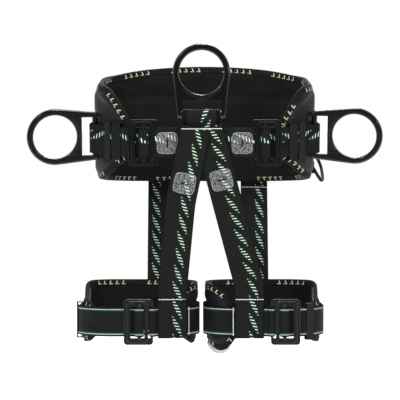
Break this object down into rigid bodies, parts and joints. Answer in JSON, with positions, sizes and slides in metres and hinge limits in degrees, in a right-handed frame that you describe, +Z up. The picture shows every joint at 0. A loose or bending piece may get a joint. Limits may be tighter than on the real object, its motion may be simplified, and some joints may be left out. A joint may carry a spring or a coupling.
{
  "type": "tree climbing saddle",
  "caption": "Climbing saddle with a padded waist belt, forged attachment rings, crossed front straps, rear straps and padded leg loops closed by pass-through buckles.",
  "frame": {"origin": "centre of the wearer's waist, in the middle height of the belt", "axes": "+Z up the wearer, -Y the way the wearer faces, +X the wearer's left"},
  "size_m": [0.5414, 0.2874, 0.4667],
  "materials": {
    "ring_metal": "satin black coat",
    "buckle_metal": "matt black coat",
    "pad_shell": "smooth woven nylon",
    "pad_foam": "closed-cell foam",
    "pad_lining": "spacer mesh",
    "edge_tape": "woven tape with pale marks",
    "tack_thread": "dense stitching",
    "leg_webbing": "webbing with green edge lines",
    "keeper_plastic": "moulded, matt",
    "keeper_elastic": "ribbed elastic",
    "cord": "braided cord",
    "plain_webbing": "plain black webbing",
    "marked_webbing": "black webbing with green dashes"
  },
  "bodies": {
    "root": {"waist_pad_shell": "pad_shell", "waist_pad_foam": "pad_foam", "waist_pad_lining": "pad_lining", "waist_pad_binding": "edge_tape", "waist_belt": "marked_webbing", "centre_strap": "plain_webbing", "front_ring_loop": "plain_webbing", "left_waist_tack": "tack_thread", "left_front_strap": "marked_webbing", "left_strap_tack": "tack_thread", "left_rear_strap": "marked_webbing", "left_waist_buckle_frame": "buckle_metal", "left_waist_buckle_plate": "buckle_metal", "right_waist_tack": "tack_thread", "right_front_strap": "marked_webbing", "right_strap_tack": "tack_thread", "right_rear_strap": "marked_webbing", "right_waist_buckle_frame": "buckle_metal", "right_waist_buckle_plate": "buckle_metal", "left_gear_loop": "cord", "left_gear_loop_tabs": "plain_webbing"},
    "front_ring": {"front_ring": "ring_metal"},
    "left_ring": {"left_ring": "ring_metal"},
    "left_waist_bar": {"left_waist_buckle_bar": "buckle_metal"},
    "left_waist_front_keeper": {"left_waist_front_keeper": "keeper_elastic"},
    "left_waist_rear_keeper": {"left_waist_rear_keeper": "keeper_plastic"},
    "left_leg": {"left_leg_pad_shell": "pad_shell", "left_leg_pad_foam": "pad_foam", "left_leg_pad_lining": "pad_lining", "left_leg_pad_binding": "edge_tape", "left_leg_strap": "leg_webbing", "left_leg_buckle_frame": "buckle_metal", "left_leg_buckle_plate": "buckle_metal", "left_front_strap_foot": "marked_webbing", "left_rear_strap_foot": "marked_webbing"},
    "left_leg_bar": {"left_leg_buckle_bar": "buckle_metal"},
    "left_leg_keeper": {"left_leg_keeper": "keeper_plastic"},
    "right_ring": {"right_ring": "ring_metal"},
    "right_waist_bar": {"right_waist_buckle_bar": "buckle_metal"},
    "right_waist_front_keeper": {"right_waist_front_keeper": "keeper_elastic"},
    "right_waist_rear_keeper": {"right_waist_rear_keeper": "keeper_plastic"},
    "right_leg": {"right_leg_pad_shell": "pad_shell", "right_leg_pad_foam": "pad_foam", "right_leg_pad_lining": "pad_lining", "right_leg_pad_binding": "edge_tape", "right_leg_strap": "leg_webbing", "right_leg_buckle_frame": "buckle_metal", "right_leg_buckle_plate": "buckle_metal", "right_front_strap_foot": "marked_webbing", "right_rear_strap_foot": "marked_webbing"},
    "right_leg_bar": {"right_leg_buckle_bar": "buckle_metal"},
    "right_leg_keeper": {"right_leg_keeper": "keeper_plastic"}
  },
  "joints": [
    {"name": "front_ring_swing", "type": "hinge", "parent": "root", "child": "front_ring", "pos_m": [-0.005, -0.13823, 0.01872], "axis": [1, 0, 0], "range_deg": [-15, 110]},
    {"name": "left_ring_swing", "type": "hinge", "parent": "root", "child": "left_ring", "pos_m": [0.16775, -0.07621, -0.01413], "axis": [0, -0.1822, 0.9833], "range_deg": [-45, 45]},
    {"name": "left_waist_bar_slide", "type": "slide", "parent": "root", "child": "left_waist_bar", "axis": [1, 0, 0], "range_m": [-0.0012, 0.0012]},
    {"name": "left_waist_front_keeper_slip", "type": "hinge", "parent": "root", "child": "left_waist_front_keeper", "pos_m": [0.088, -0.0413, -0.00765], "axis": [0, -0.1822, 0.9833], "range_deg": [-5.5, 1]},
    {"name": "left_waist_rear_keeper_slip", "type": "hinge", "parent": "root", "child": "left_waist_rear_keeper", "pos_m": [0.088, -0.0413, -0.00765], "axis": [0, -0.1822, 0.9833], "range_deg": [-0.8, 0.8]},
    {"name": "left_leg_swing", "type": "slide", "parent": "root", "child": "left_leg", "axis": [0, 1, 0], "range_m": [-0.03, 0.03]},
    {"name": "left_leg_bar_slide", "type": "slide", "parent": "left_leg", "child": "left_leg_bar", "axis": [1, 0, 0], "range_m": [-0.0012, 0.0012]},
    {"name": "left_leg_keeper_slip", "type": "hinge", "parent": "left_leg", "child": "left_leg_keeper", "pos_m": [0.1315, -0.021, -0.2965], "axis": [0, 0, 1], "range_deg": [-8, 8]},
    {"name": "right_ring_swing", "type": "hinge", "parent": "root", "child": "right_ring", "pos_m": [-0.16775, -0.07621, -0.01413], "axis": [0, -0.1822, 0.9833], "range_deg": [-45, 45]},
    {"name": "right_waist_bar_slide", "type": "slide", "parent": "root", "child": "right_waist_bar", "axis": [-1, 0, 0], "range_m": [-0.0012, 0.0012]},
    {"name": "right_waist_front_keeper_slip", "type": "hinge", "parent": "root", "child": "right_waist_front_keeper", "pos_m": [-0.088, -0.0413, -0.00765], "axis": [0, -0.1822, 0.9833], "range_deg": [-1, 5.5]},
    {"name": "right_waist_rear_keeper_slip", "type": "hinge", "parent": "root", "child": "right_waist_rear_keeper", "pos_m": [-0.088, -0.0413, -0.00765], "axis": [0, -0.1822, 0.9833], "range_deg": [-0.8, 0.8]},
    {"name": "right_leg_swing", "type": "slide", "parent": "root", "child": "right_leg", "axis": [0, 1, 0], "range_m": [-0.03, 0.03]},
    {"name": "right_leg_bar_slide", "type": "slide", "parent": "right_leg", "child": "right_leg_bar", "axis": [-1, 0, 0], "range_m": [-0.0012, 0.0012]},
    {"name": "right_leg_keeper_slip", "type": "hinge", "parent": "right_leg", "child": "right_leg_keeper", "pos_m": [-0.1415, -0.021, -0.2965], "axis": [0, 0, 1], "range_deg": [-8, 8]}
  ]
}
